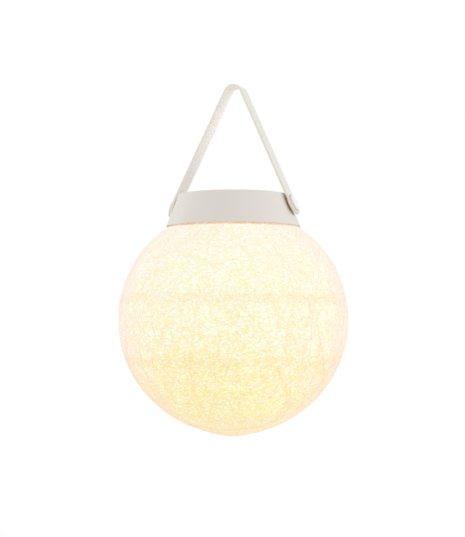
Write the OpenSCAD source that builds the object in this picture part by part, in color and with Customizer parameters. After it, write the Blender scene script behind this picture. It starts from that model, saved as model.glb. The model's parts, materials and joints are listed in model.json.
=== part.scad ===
// Hanging garden lamp: a ball wound from cotton thread under a round tapered cap, which holds
// the solar panel, battery and light board, with a strap handle snapped on at both sides.
// Heights are written from the cap's lower edge, and the whole lamp is then lowered so that
// the origin is the centre of the round bend at the top of the strap, where a hook passes.

/* [Ball shade] */
// Radius of the ball over its outermost threads
ball_r = 125; // [121:0.5:128]
// How far the crown is drawn in below a true ball, near the mouth
crown_draw = 2.6; // [1.6:0.1:3.6]
// How far the drawn-out tip stands below a true ball
tip_rise = 2.2; // [0:0.2:5]
// Angle over which the tip fades into the ball, in degrees
tip_spread = 14; // [10:1:22]
// Thickness of the stiffened cotton shell
shell_t = 1.6; // [1.2:0.1:2.2]
// How far the mouth at the top of the shell lies inside the cap's edge
mouth_in = 9; // [8:0.25:10.5]
// How far the joint between the shell's two halves lies below the ball's middle
joint_drop = 16; // [8:0.5:24]

/* [Outer winding] */
// Diameter of the cotton thread
thread_d = 0.8; // [0.6:0.05:0.9]
// Turns in the outer winding
winding_turns = 20; // [12:1:20]
// Angle between the cap's edge and the highest turn, seen from the ball's middle
winding_top_gap = 9.3; // [7.3:0.1:18]
// Lowest angle below the ball's middle that a turn reaches
winding_low_angle = 60; // [50:1:64]

/* [Cap] */
// Radius of the cap at its lower edge
cap_base_r = 73; // [71.5:0.25:74.5]
// Radius of the cap at its top edge
cap_top_r = 59.7; // [58.5:0.1:61.5]
// Height of the cap
cap_h = 34.8; // [34.2:0.1:40]
// Wall of the cap
cap_wall = 2.4; // [2:0.1:2.8]
// Thickness of the cap's flat top
deck_t = 2.6; // [2:0.1:3]
// Rounding of the cap's top edge
edge_round = 1.6; // [0.8:0.1:2.4]
// Gap between the cap's lower edge and the ball
lip_gap = 0.65; // [0.4:0.05:1]

/* [Strap] */
// Width of the strap
strap_w = 22; // [20:0.5:27]
// Thickness of the strap
strap_t = 2.2; // [1.8:0.1:2.6]
// Length of strap below the snap's centre
strap_tail = 13; // [11:0.5:15]
// Inner radius of the bend at the top
bend_r = 8.5; // [6:0.5:13]
// Height of the bend's centre above the cap's lower edge
bend_h = 144; // [124:0.5:170]

/* [Snaps] */
// Height of the snaps' centres above the cap's lower edge
pivot_h = 23.5; // [21:0.25:25]
// Distance of the snap's ball from the cap's wall
stand_off = 3.75; // [3.7:0.05:4.5]
// Radius of the round snap button
snap_r = 8.7; // [7:0.1:10]
// Height of the snap button at its middle
snap_h = 3.2; // [2.8:0.1:4]
// Radius of the stud's ball
stud_ball_r = 2.4; // [2.2:0.05:2.5]
// Radius of the stud's neck
stud_neck_r = 1.3; // [1.1:0.05:1.4]
// Radius of the stud's threaded tail
stud_tail_r = 1.5; // [1.2:0.05:1.8]

/* [Solar panel] */
// Radius of the solar panel
panel_r = 38.2; // [34:0.2:39]
// Thickness of the panel's board
panel_t = 1.2; // [1:0.1:1.6]
// Thickness of the solar cells
cell_t = 0.25; // [0.2:0.05:0.4]
// Number of cell strips
cell_count = 6; // [4:1:10]
// Thickness of the clear cover over the cells
cover_t = 0.7; // [0.5:0.1:1]
// Thickness of the sticky seal under the panel
panel_seal_t = 0.4; // [0.3:0.1:0.6]

/* [Power button] */
// Radius of the power button
button_r = 5.5; // [4.5:0.1:6]
// Distance of the power button from the lamp's axis
button_y = 48.2; // [47:0.1:49]
// How far the button stands out of the cap
button_rise = 0.9; // [0.85:0.05:1.4]
// Travel of the button
button_travel = 0.8; // [0.4:0.1:0.8]

/* [Light unit] */
// Thickness of the base plate
plate_t = 2.2; // [1.8:0.1:3]
// How far the twist lock's lugs stand out of the base plate's collar
lug_reach = 2.7; // [2.3:0.1:3.7]
// Radius of the light board
board_r = 27; // [24:0.5:28]
// Number of light chips
chip_count = 12; // [6:1:16]
// Outer radius of the diffuser dome
dome_r = 30.5; // [30:0.5:34]
// Depth of the diffuser dome
dome_depth = 26; // [16:0.5:34]
// Wall of the diffuser
dome_t = 1.5; // [1:0.1:2]

/* [Battery and circuit] */
// Diameter of the battery cell
battery_d = 18.4; // [14:0.1:18.6]
// Length of the battery cell
battery_l = 65; // [50:0.5:66]
// Width of the circuit board
circuit_w = 44; // [38:0.5:46]
// Thickness of the circuit board
circuit_t = 1.6; // [1:0.1:2]

/* [Hidden] */
$fn = 72;

cap_colour = [0.86, 0.85, 0.82];
strap_colour = [0.9, 0.89, 0.85];
cotton_colour = [0.99, 0.95, 0.82];
frost_colour = [0.96, 0.96, 0.94];
steel_colour = [0.75, 0.76, 0.78];
rubber_colour = [0.25, 0.25, 0.26];
circuit_colour = [0.1, 0.4, 0.25];
cell_colour = [0.08, 0.1, 0.22];

// Clearances
fit_gap = 0.1;      // between pieces of one body that seat on each other
seat_gap = 0.05;    // under a piece that is screwed or stuck down
run_gap = 0.1;      // round the snap's ball in its socket
slide_gap = 0.2;    // round pieces that slide or turn past each other
cut = 1;            // how far a cutting solid runs past the face it cuts

// The ball: distance from its centre to its surface at an angle above its middle
function ball_reach(up) = ball_r - crown_draw * pow(max(0, sin(up)), 2)
    + tip_rise * exp(-pow((90 + up) / tip_spread, 2));

// Height of the outside of the shell's crown at a distance from the axis
function crown_h(r, inset = 0) =
    let (reach = ball_reach(acos(r / ball_r)) - inset) ball_z + sqrt(reach * reach - r * r);

rim_angle = acos(cap_base_r / ball_r);
rim_reach = ball_reach(rim_angle);
ball_z = -(sqrt(rim_reach * rim_reach - cap_base_r * cap_base_r) + lip_gap);

// The cap's tapered wall
cap_lean = atan2(cap_base_r - cap_top_r, cap_h);
function cap_r_at(h) = cap_base_r - (cap_base_r - cap_top_r) * h / cap_h;
function bore_r_at(h) = cap_r_at(h) - cap_wall / cos(cap_lean);
deck_h = cap_h - deck_t;

// Panel recess in the cap's top
recess_r = panel_r + 0.3;
recess_floor_t = 2;
recess_h = cap_h - panel_seal_t - panel_t - cell_t - cover_t - 2 * seat_gap;
recess_back_r = recess_r + 2.4;
lead_hole_r = 2.5;
panel_edge_w = 2.4;   // rim of the clear cover, which seats on the board

// Twist lock between the base plate and the ring in the ball's mouth
mouth_r = cap_base_r - mouth_in;
neck_r = mouth_r - 0.3;
neck_wall = 3.6;
neck_bore_r = neck_r - neck_wall;
neck_top_h = crown_h(mouth_r) + 0.25;
gasket_t = 0.7;
plate_h = neck_top_h + gasket_t + fit_gap;
plate_top_h = plate_h + plate_t;
plate_r = bore_r_at(plate_top_h) - 0.4;
collar_wall = 2.4;
lug_angle = 24;       // width of each lug and tab, in degrees
lug_count = 3;
lug_t = 2.1;
lug_r = neck_bore_r - 2 * slide_gap;
collar_r = lug_r - lug_reach;
tab_r = collar_r + 2 * slide_gap;
tab_t = 2;
tab_h = -2;           // underside of the ring's tabs, which hang on the lugs
lug_h = tab_h - seat_gap - lug_t;
stop_angle = 2.4;
stop_gap_angle = 0.5;
flange_r = cap_base_r - 2;
flange_t = 2;

// Shoulder inside the cap that the base plate is drawn up against
seal_t = 0.55;
shoulder_h = plate_top_h + seal_t + 2 * seat_gap;
shoulder_t = 2;
shoulder_w = 2.8;

// Screw posts
post_r = 3.6;
post_place = (recess_back_r + collar_r - collar_wall) / 2;    // clear of panel and collar
post_angles = [45, 135, 232, 308];
screw_r = 1.25;
screw_head_r = 2.6;
screw_head_t = 1.8;
base_screw_l = 9;
small_screw_r = 0.9;
small_head_r = 1.8;
small_head_t = 1.3;
small_screw_l = 3.4;

// Light board and diffuser under the plate
light_board_t = 1.6;
light_board_top = plate_h - seat_gap;
light_board_h = light_board_top - light_board_t;
chip_ring_r = board_r * 0.66;
chip_size = [3.5, 2.8, 0.8];
board_screw_y = board_r - 4;
dome_flange_r = dome_r + 5;
dome_flange_t = 1.6;
dome_flange_h = plate_h - seat_gap - dome_flange_t;
dome_screw_r = dome_r + 2.6;

// Battery in its cradle on the plate
battery_r = battery_d / 2;
cradle_floor = 1.6;
cradle_wall = 1.8;
cradle_w = battery_d + 2 * cradle_wall;
contact_t = 0.5;
contact_nub = 1.2;
cradle_l = battery_l + 2 * (contact_t + contact_nub + 2 * seat_gap + cradle_wall);
battery_y = -6.4 - cradle_w / 2;
battery_h = plate_top_h + seat_gap + cradle_floor + fit_gap + battery_r;
cradle_h = cradle_floor + 0.62 * battery_d;

// Power button, switch and circuit board, stacked down from the cap's top
button_top_h = cap_h + button_rise;
guide_wall = 2;
guide_r = button_r + slide_gap + guide_wall;
guide_h = deck_h - 3.6;
button_flange_r = button_r + 1.4;
button_flange_t = 1.2;
button_foot_h = guide_h - slide_gap - button_flange_t;
plunger_r = 1.7;
plunger_l = 2.6;
plunger_top_h = button_foot_h - seat_gap;
switch_w = 6;
switch_t = 3.5;
switch_top_h = plunger_top_h - 1.4;
switch_h = switch_top_h - switch_t;
circuit_top_h = switch_h - seat_gap;
circuit_h = circuit_top_h - circuit_t;
circuit_y0 = 19;
circuit_y1 = button_y + 4.4;
circuit_post_r = 2.3;
circuit_hole_x = circuit_w / 2 - 3;
circuit_hole_y0 = circuit_y0 + 3;
circuit_hole_y1 = circuit_y0 + 0.72 * (circuit_y1 - circuit_y0);
circuit_corner = circuit_w * 0.36;
seal_r = 0.75;
seal_groove_r = button_r - 1.4;

// Snaps
snap_edge_h = snap_h * 0.68;
snap_edge_round = 0.8;
socket_r = stud_ball_r + run_gap + 1.1;
socket_flange_r = socket_r + 2;
socket_flange_t = 1;
socket_top = stud_ball_r + run_gap + 0.6;
socket_bottom = strap_t / 2 + socket_flange_t + seat_gap;
mouth_depth = 0.6 * stud_ball_r + run_gap;
pivot_x = cap_r_at(pivot_h) + stand_off / cos(cap_lean);
stud_flange_r = 4.4;
stud_flange_t = 0.9;
stud_recess = 1;
stud_boss_r = 5.4;
stud_boss_depth = 4.4;
washer_t = 0.5;
washer_r = 4;
nut_t = 2.2;
nut_r = 3.2;

// Strap: straight legs that run from the snaps to the round bend
bend_mid_r = bend_r + strap_t / 2;
bend_rise = bend_h - pivot_h;
pivot_to_bend = norm([pivot_x, bend_rise]);
leg_lean = acos(bend_mid_r / pivot_to_bend) - atan2(bend_rise, pivot_x);
leg_l = sqrt(pow(pivot_to_bend, 2) - pow(bend_mid_r, 2));

// Thin leads inside the cap
lead_d = 1.3;
lead_sides = 8;

// Outer winding: turns of one thread that rise in the inner layer and fall in the outer one
rings_per_turn = 24;
thread_sides = 6;
thread_gap = 0.8;     // between the two layers of turns
thread_seat = 0.4;    // between the shell and the lowest part of the thread
ring_step = 360 / rings_per_turn;
chord_dip = ball_r * (1 - cos(ring_step / 2));    // of a straight run between two rings
layer_step = thread_d + thread_gap + chord_dip;
winding_relief = layer_step + thread_d + chord_dip + thread_seat;
winding_top_angle = rim_angle - winding_top_gap;
winding_mid = (winding_top_angle - winding_low_angle) / 2;
winding_swing = (winding_top_angle + winding_low_angle) / 2;
fade_lag = winding_top_gap * 0.15;       // angle past the turns where the bare shell starts to rise
relief_fade = winding_top_gap * 0.55;    // angle over which it rises to the full ball

// How deep the bare shell lies below the ball's outline, at an angle above its middle
function shell_depth(up) = let (
        above = (up - winding_top_angle - fade_lag) / relief_fade,
        below = (-winding_low_angle - up - fade_lag) / relief_fade,
        t = min(1, max(0, above, below)))
    winding_relief * (1 - t * t * (3 - 2 * t));

function shell_point(up, inset = 0) = let (r = ball_reach(up) - shell_depth(up) - inset)
    [r * cos(up), ball_z + r * sin(up)];

// Sweeps a round tube along points. Each ring stands square to the route at its point.
function unit(v) = v / norm(v);
function route_way(p, i) = unit(p[min(i + 1, len(p) - 1)] - p[max(i - 1, 0)]);
function carry(side, way) = unit(side - way * (side * way));
function ring_sides(p, i = 0, side = [0, 0, 0], out = []) =
    i == len(p) ? out
    : let (
        way = route_way(p, i),
        seed = abs(way.z) < 0.9 ? [0, 0, 1] : [1, 0, 0],
        next = carry(i == 0 ? seed : side, way))
    ring_sides(p, i + 1, next, concat(out, [next]));

module tube(p, d, sides) {
    across = ring_sides(p);
    points = [
        for (i = [0 : len(p) - 1]) let (a = across[i], b = cross(route_way(p, i), a))
            for (k = [0 : sides - 1]) let (turn = 360 * k / sides)
                p[i] + d / 2 * (a * cos(turn) + b * sin(turn))
    ];
    last = (len(p) - 1) * sides;
    walls = [
        for (i = [0 : len(p) - 2], k = [0 : sides - 1]) let (
            n = (k + 1) % sides, a = i * sides + k, b = i * sides + n)
            each [[a, a + sides, b], [b, a + sides, b + sides]]
    ];
    ends = [for (k = [1 : sides - 2]) each [[0, k, k + 1], [last, last + k + 1, last + k]]];
    polyhedron(points, concat(walls, ends));
}

// A smooth route through a few chosen points
function route(p, steps) = [
    for (i = [0 : len(p) - 2], k = [0 : steps - 1]) let (
        t = k / steps,
        a = p[max(i - 1, 0)], b = p[i], c = p[i + 1], d = p[min(i + 2, len(p) - 1)])
        0.5 * (2 * b + (c - a) * t + (2 * a - 5 * b + 4 * c - d) * t * t
            + (3 * b - a - 3 * c + d) * t * t * t),
    p[len(p) - 1]
];

// Places
module in_lamp() translate([0, 0, -bend_h]) children();

module at_side(side) mirror([side < 0 ? 1 : 0, 0, 0]) children();

// At a snap's centre, with Z out of the strap's face
module at_snap(side) at_side(side) translate([pivot_x, 0, pivot_h])
    rotate([0, 90 - leg_lean, 0]) children();

// On the cap's wall below a snap, with Z out of the wall
module at_wall(side) at_side(side) translate([pivot_x, 0, pivot_h])
    rotate([0, 90 - cap_lean, 0]) translate([0, 0, -stand_off]) children();

module at_posts() for (a = post_angles) rotate([0, 0, a]) translate([post_place, 0, 0])
    children();

module at_circuit_holes() for (x = [-1, 1] * circuit_hole_x, y = [circuit_hole_y0,
    circuit_hole_y1]) translate([x, y, 0]) children();

module at_dome_screws() for (a = [30, 150, 270]) rotate([0, 0, a])
    translate([dome_screw_r, 0, 0]) children();

module at_board_screws() for (side = [-1, 1]) translate([0, side * board_screw_y, 0])
    children();

module tube_ring(r_in, r_out, h) difference() {
    cylinder(r = r_out, h = h);
    translate([0, 0, -cut]) cylinder(r = r_in, h = h + 2 * cut);
}

module arc_block(r_in, r_out, h, from, to) rotate([0, 0, from])
    rotate_extrude(angle = to - from) translate([r_in, 0]) square([r_out - r_in, h]);

// Strap and snaps
module along_leg(side) at_side(side) translate([0, 0, bend_h]) rotate([0, -leg_lean, 0]) children();

module strap_leg(side) along_leg(side) translate([bend_r, 0, 0]) {
    band_l = leg_l + strap_tail - strap_w / 2;
    translate([0, -strap_w / 2, -band_l]) cube([strap_t, strap_w, band_l]);
    translate([0, 0, -band_l]) rotate([0, 90, 0]) cylinder(d = strap_w, h = strap_t);
}

// The bend is the part of a ring that lies above both legs
module strap_bend() let (reach = bend_r + strap_t + 1) intersection() {
    translate([0, strap_w / 2, bend_h]) rotate([90, 0, 0])
        tube_ring(bend_r, bend_r + strap_t, strap_w);
    intersection_for(side = [-1, 1]) along_leg(side) translate([-reach, -strap_w, 0])
        cube([2 * reach, 2 * strap_w, 2 * reach]);
}

module handle_strap() color(strap_colour) difference() {
    union() {
        strap_leg(-1);
        strap_leg(1);
        strap_bend();
    }
    for (side = [-1, 1]) at_snap(side) translate([0, 0, -cut - strap_t / 2])
        cylinder(r = socket_r + fit_gap, h = strap_t + 2 * cut);
}

// Outline of the round button: a straight edge, a small round and a shallow dome
function snap_outline() = let (
        flat_r = snap_r - snap_edge_round,
        edge_h = snap_edge_h - snap_edge_round)
    concat(
        [[0, 0], [snap_r, 0]],
        [for (a = [0 : 15 : 75]) [flat_r + snap_edge_round * cos(a),
            edge_h + snap_edge_round * sin(a)]],
        [for (k = [0 : 6]) let (x = flat_r * (1 - k / 6))
            [x, snap_edge_h + (snap_h - snap_edge_h) * (1 - pow(x / flat_r, 2))]]);

module snap_button(side) color(strap_colour) at_snap(side) difference() {
    translate([0, 0, strap_t / 2 + seat_gap]) rotate_extrude() polygon(snap_outline());
    cylinder(r = socket_r + fit_gap, h = socket_top + fit_gap);
}

// The socket is riveted into the strap, and its round hollow snaps over the stud's ball.
module snap_socket(side) color(steel_colour) at_snap(side) difference() {
    union() {
        translate([0, 0, -socket_bottom]) cylinder(r = socket_flange_r, h = socket_flange_t);
        translate([0, 0, -socket_bottom]) cylinder(r = socket_r, h = socket_bottom + socket_top);
    }
    sphere(r = stud_ball_r + run_gap);
    translate([0, 0, -socket_bottom - cut]) cylinder(
        r = sqrt(pow(stud_ball_r + run_gap, 2) - pow(mouth_depth, 2)) + 0.02,
        h = socket_bottom + cut - mouth_depth);
}

module ball_stud(side) color(steel_colour) at_wall(side) {
    translate([0, 0, stand_off]) sphere(r = stud_ball_r);
    translate([0, 0, -stud_recess]) cylinder(r = stud_neck_r, h = stud_recess + stand_off);
    translate([0, 0, seat_gap - stud_recess]) cylinder(r = stud_flange_r, h = stud_flange_t);
    tail_l = stud_boss_depth + washer_t + nut_t + 3 * seat_gap + 0.8;
    translate([0, 0, -tail_l]) cylinder(r = stud_tail_r, h = tail_l - stud_recess / 2);
}

module stud_washers() color(steel_colour) for (side = [-1, 1]) at_wall(side)
    translate([0, 0, -stud_boss_depth - seat_gap - washer_t])
        tube_ring(stud_tail_r + fit_gap, washer_r, washer_t);

module stud_nuts() color(steel_colour) for (side = [-1, 1]) at_wall(side)
    translate([0, 0, -stud_boss_depth - 2 * seat_gap - washer_t - nut_t]) difference() {
        cylinder(r = nut_r, h = nut_t, $fn = 6);
        translate([0, 0, -cut]) cylinder(r = stud_tail_r + seat_gap, h = nut_t + 2 * cut);
    }

// Height at which the cap's bore clears the crown by the lip's gap, found in three steps
function lip_above(h) = crown_h(bore_r_at(h)) + lip_gap;

// Cap
function cap_outline() = let (
        top_in = edge_round * tan((90 - cap_lean) / 2),
        lip_h = lip_above(lip_above(lip_above(0))),
        lip_w = 0.7)
    concat(
        [[cap_base_r - lip_w, 0], [cap_base_r, 0]],
        [for (a = [0 : 1 / 6 : 1]) let (
                turn = cap_lean + a * (90 - cap_lean),
                mid = [cap_top_r - top_in, cap_h - edge_round])
            [mid.x + edge_round * cos(turn), mid.y + edge_round * sin(turn)]],
        [[recess_r, cap_h], [recess_r, recess_h], [0, recess_h],
            [0, recess_h - recess_floor_t], [recess_back_r, recess_h - recess_floor_t],
            [recess_back_r, deck_h], [bore_r_at(deck_h), deck_h],
            [bore_r_at(shoulder_h + shoulder_t), shoulder_h + shoulder_t],
            [bore_r_at(shoulder_h) - shoulder_w, shoulder_h + shoulder_t],
            [bore_r_at(shoulder_h) - shoulder_w, shoulder_h],
            [bore_r_at(shoulder_h), shoulder_h],
            [bore_r_at(lip_h), lip_h]]);

module cap_shell() color(cap_colour) difference() {
    union() {
        rotate_extrude() polygon(cap_outline());
        at_posts() translate([0, 0, plate_top_h + seat_gap])
            cylinder(r = post_r, h = deck_h - plate_top_h + deck_t / 2);
        translate([0, button_y, guide_h]) cylinder(r = guide_r, h = deck_h - guide_h + deck_t / 2);
        for (side = [-1, 1]) at_wall(side) translate([0, 0, -stud_boss_depth])
            cylinder(r = stud_boss_r, h = stud_boss_depth - cap_wall / 2);
    }
    translate([0, 0, recess_h - recess_floor_t - cut])
        cylinder(r = lead_hole_r, h = recess_floor_t + 2 * cut);
    translate([0, button_y, guide_h - cut])
        cylinder(r = button_r + slide_gap, h = cap_h - guide_h + 2 * cut);
    at_posts() translate([0, 0, plate_top_h]) cylinder(r = screw_r - fit_gap, h = base_screw_l);
    for (side = [-1, 1]) at_wall(side) {
        translate([0, 0, -stud_recess]) cylinder(r = stud_flange_r + fit_gap, h = stud_recess + cut);
        translate([0, 0, -stud_boss_depth - cut])
            cylinder(r = stud_tail_r + fit_gap, h = stud_boss_depth + 2 * cut);
    }
}

// Solar panel
module panel_seal() color(rubber_colour) translate([0, 0, recess_h + seat_gap / 2])
    tube_ring(panel_r * 0.72, panel_r - 0.6, panel_seal_t);

panel_h = recess_h + panel_seal_t + seat_gap;

module solar_board() color([0.12, 0.14, 0.18]) translate([0, 0, panel_h])
    cylinder(r = panel_r, h = panel_t);

module solar_cells() color(cell_colour) translate([0, 0, panel_h + panel_t]) {
    field_r = panel_r - panel_edge_w - 0.6;
    strip_w = 2 * field_r / cell_count;
    strip_gap = 0.5;
    intersection() {
        cylinder(r = field_r, h = cell_t);
        for (k = [0 : cell_count - 1]) translate([-field_r + k * strip_w + strip_gap / 2,
            -field_r, 0]) cube([strip_w - strip_gap, 2 * field_r, cell_t]);
    }
}

module panel_cover() color([0.7, 0.75, 0.8, 0.35]) {
    top_h = panel_h + panel_t + cell_t + seat_gap;
    translate([0, 0, top_h]) cylinder(r = panel_r, h = cover_t);
    translate([0, 0, panel_h + panel_t])
        tube_ring(panel_r - panel_edge_w, panel_r, cell_t + seat_gap + cover_t / 2);
}

// Power button
module power_button() color(cap_colour) translate([0, button_y, 0]) difference() {
    union() {
        top_round = 0.6;
        rotate_extrude() polygon([[0, guide_h - slide_gap], [button_r, guide_h - slide_gap],
            [button_r, button_top_h - top_round], [button_r - top_round, button_top_h],
            [0, button_top_h]]);
        translate([0, 0, button_foot_h]) cylinder(r = button_flange_r, h = button_flange_t);
    }
    seal_h = (guide_h + deck_h) / 2;
    translate([0, 0, seal_h - seal_r - seat_gap])
        tube_ring(seal_groove_r, button_r + cut, 2 * (seal_r + seat_gap));
}

module button_seal() color(rubber_colour) translate([0, button_y, (guide_h + deck_h) / 2])
    rotate_extrude() translate([seal_groove_r + seat_gap + seal_r, 0]) circle(r = seal_r);

module switch_plunger() color(rubber_colour) translate([0, button_y, plunger_top_h - plunger_l])
    cylinder(r = plunger_r, h = plunger_l);

module tact_switch() color(steel_colour) difference() {
    translate([-switch_w / 2, button_y - switch_w / 2, switch_h])
        cube([switch_w, switch_w, switch_t]);
    hollow_h = plunger_top_h - plunger_l - button_travel - slide_gap;
    translate([0, button_y, hollow_h])
        cylinder(r = plunger_r + fit_gap, h = switch_top_h - hollow_h + cut);
}

// Circuit board
module circuit_board() color(circuit_colour) difference() {
    translate([-circuit_w / 2, circuit_y0, circuit_h])
        cube([circuit_w, circuit_y1 - circuit_y0, circuit_t]);
    at_circuit_holes() translate([0, 0, circuit_h - cut])
        cylinder(r = small_screw_r + fit_gap, h = circuit_t + 2 * cut);
    for (side = [-1, 1]) translate([side * circuit_w / 2, circuit_y1, circuit_h - cut])
        rotate([0, 0, 45])
            cube([circuit_corner, circuit_corner, 2 * (circuit_t + 2 * cut)], center = true);
}

module board_components() color([0.15, 0.15, 0.16])
    translate([0, 0, circuit_top_h + seat_gap]) {
        translate([-5, circuit_y0 + 9, 0]) cube([7, 5, 1.6]);
        translate([-15, circuit_y0 + 12, 0]) cylinder(r = 3, h = 5.4);
        translate([6, circuit_y0 + 12, 0]) cube([6, 6, 2.8]);
        for (k = [0 : 3]) translate([-10 + 4 * k, circuit_y0 + 4, 0]) cube([2, 1.25, 0.6]);
    }

// Battery
module battery_holder() color(rubber_colour) translate([0, battery_y, plate_top_h + seat_gap])
    difference() {
        translate([-cradle_l / 2, -cradle_w / 2, 0]) cube([cradle_l, cradle_w, cradle_h]);
        hollow_l = cradle_l - 2 * cradle_wall;
        hollow_h = battery_h - plate_top_h - seat_gap;
        translate([-hollow_l / 2, 0, hollow_h]) rotate([0, 90, 0])
            cylinder(r = battery_r + fit_gap, h = hollow_l);
        translate([-hollow_l / 2, -battery_r - fit_gap, hollow_h])
            cube([hollow_l, 2 * (battery_r + fit_gap), cradle_h]);
    }

module battery_cell() color([0.2, 0.45, 0.35]) translate([0, battery_y, battery_h])
    rotate([0, 90, 0]) translate([0, 0, -battery_l / 2]) {
        cylinder(r = battery_r, h = battery_l - 0.8);
        cylinder(r = battery_r * 0.45, h = battery_l);
    }

module battery_contacts() color(steel_colour) for (side = [-1, 1])
    translate([side * (battery_l / 2 + contact_nub + contact_t / 2 + seat_gap), battery_y,
        battery_h]) rotate([0, 90, 0]) {
            translate([0, 0, -contact_t / 2]) cylinder(r = battery_r * 0.7, h = contact_t);
            translate([0, 0, -side * contact_nub / 2])
                cylinder(r = battery_r * 0.35, h = contact_nub, center = true);
        }

// Leads, in pairs a diameter and a half apart
module lead_pair(p, off) {
    path = route(p, 4);
    tube(path, lead_d, lead_sides);
    tube([for (q = path) q + off], lead_d, lead_sides);
}

module solar_leads() color([0.75, 0.2, 0.15]) {
    foot_h = circuit_top_h + seat_gap;
    top_h = panel_h - seat_gap;
    lead_pair([[-1, 0, top_h], [-1, 0, top_h - 2.5], [-1, 0, top_h - 5], [0, 8, foot_h + 5],
        [2, circuit_y0 + 0.5, foot_h + 5], [2, circuit_y0 + 2, foot_h + 3.2],
        [2, circuit_y0 + 2, foot_h + 1.6], [2, circuit_y0 + 2, foot_h]], [2, 0, 0]);
}

module battery_leads() color([0.7, 0.18, 0.15]) {
    x = cradle_l / 2 + lead_d;
    foot = [circuit_w * 0.31, circuit_y0 + 3.5, circuit_top_h + seat_gap];
    lead_pair([[x, battery_y + battery_r / 3, plate_top_h + battery_r * 0.65],
        [x, battery_y + battery_r * 1.5, plate_top_h + battery_r * 0.75],
        [x - battery_r * 0.65, battery_y + battery_r * 2.1, plate_top_h + battery_r * 0.87],
        [circuit_w / 2, circuit_y0 * 0.68, foot.z + 3.6], [foot.x + 1.5, foot.y - 1.5, foot.z + 4.6],
        foot + [0, 0, 3.2], foot + [0, 0, 1.6], foot], [1.5, 1.5, 0]);
}

module light_leads() color([0.8, 0.8, 0.78]) {
    foot_h = circuit_top_h + seat_gap;
    lead_pair([[-1, 0, light_board_h + 0.4], [-1, 0, plate_top_h + 2],
        [-4, 6, plate_top_h + 6], [-8, 13, foot_h + 2],
        [-9, circuit_y0 + 0.6, foot_h + 4.4], [-9, circuit_y0 + 1.6, foot_h + 3],
        [-9, circuit_y0 + 1.6, foot_h + 1.5], [-9, circuit_y0 + 1.6, foot_h]], [2, 0, 0]);
}

// Base plate with the collar that the ball's neck ring twists onto
module base_plate() color(frost_colour) difference() {
    union() {
        translate([0, 0, plate_h]) cylinder(r = plate_r, h = plate_t);
        translate([0, 0, lug_h])
            tube_ring(collar_r - collar_wall, collar_r, plate_h - lug_h + plate_t / 2);
        for (k = [0 : lug_count - 1]) rotate([0, 0, 360 / lug_count * k])
            translate([0, 0, lug_h]) {
                stop_at = -lug_angle / 2 - stop_gap_angle;
                arc_block(collar_r - 1, lug_r, lug_t, stop_at - stop_angle / 2, lug_angle / 2);
                arc_block(collar_r - 1.2, lug_r - 0.2, lug_t + tab_t, stop_at - stop_angle,
                    stop_at);
            }
        at_circuit_holes() translate([0, 0, plate_top_h - plate_t / 2])
            cylinder(r = circuit_post_r, h = circuit_h - seat_gap - plate_top_h + plate_t / 2);
    }
    translate([0, 0, plate_h - cut]) cylinder(r = lead_hole_r, h = plate_t + 2 * cut);
    at_posts() translate([0, 0, plate_h - cut])
        cylinder(r = screw_r + slide_gap, h = plate_t + 2 * cut);
    at_circuit_holes() translate([0, 0, circuit_h - small_screw_l + circuit_t - slide_gap])
        cylinder(r = small_screw_r - seat_gap, h = small_screw_l + cut);
    at_dome_screws() translate([0, 0, plate_h - cut])
        cylinder(r = small_screw_r - seat_gap, h = plate_t + 2 * cut);
    at_board_screws() translate([0, 0, plate_h - cut])
        cylinder(r = small_screw_r - seat_gap, h = plate_t + 2 * cut);
}

module base_seal() color(rubber_colour) translate([0, 0, plate_top_h + seat_gap])
    tube_ring(bore_r_at(shoulder_h) - shoulder_w + 0.2, plate_r - 0.2, seal_t);

// Screws, with Z out of the head
module screw(r, l, head_r, head_t) {
    translate([0, 0, -l]) cylinder(r = r, h = l + head_t / 2);
    difference() {
        cylinder(r = head_r, h = head_t);
        translate([0, 0, head_t / 2]) {
            cube([head_r * 1.2, head_r * 0.26, head_t], center = true);
            cube([head_r * 0.26, head_r * 1.2, head_t], center = true);
        }
    }
}

module base_screws() color(steel_colour) at_posts() translate([0, 0, plate_h - seat_gap])
    rotate([180, 0, 0]) screw(screw_r - fit_gap - seat_gap, base_screw_l, screw_head_r,
        screw_head_t);

module small_screw() screw(small_screw_r - 2 * seat_gap, small_screw_l, small_head_r,
    small_head_t);

module small_screws() color(steel_colour) {
    at_circuit_holes() translate([0, 0, circuit_top_h + seat_gap]) small_screw();
    at_dome_screws() translate([0, 0, dome_flange_h - seat_gap]) rotate([180, 0, 0])
        small_screw();
    at_board_screws() translate([0, 0, light_board_h - seat_gap]) rotate([180, 0, 0])
        small_screw();
}

module neck_gasket() color(rubber_colour) translate([0, 0, plate_h - seat_gap / 2 - gasket_t])
    tube_ring(neck_bore_r + 0.3, neck_r - 0.3, gasket_t);

// Light board and diffuser
module light_board() color(frost_colour) difference() {
    translate([0, 0, light_board_h]) cylinder(r = board_r, h = light_board_t);
    translate([0, 0, light_board_h - cut]) cylinder(r = lead_hole_r, h = light_board_t + 2 * cut);
    at_board_screws() translate([0, 0, light_board_h - cut])
        cylinder(r = small_screw_r + fit_gap, h = light_board_t + 2 * cut);
}

module light_chips() color([0.98, 0.85, 0.4]) for (k = [0 : chip_count - 1])
    rotate([0, 0, 360 / chip_count * (k + 0.5)])
        translate([chip_ring_r - chip_size.x / 2, -chip_size.y / 2,
            light_board_h - seat_gap - chip_size.z]) cube(chip_size);

function dome_arc(r, depth, n) = [for (k = [0 : n]) let (a = 90 * k / n)
    [r * cos(a), dome_flange_h - depth * sin(a)]];

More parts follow.
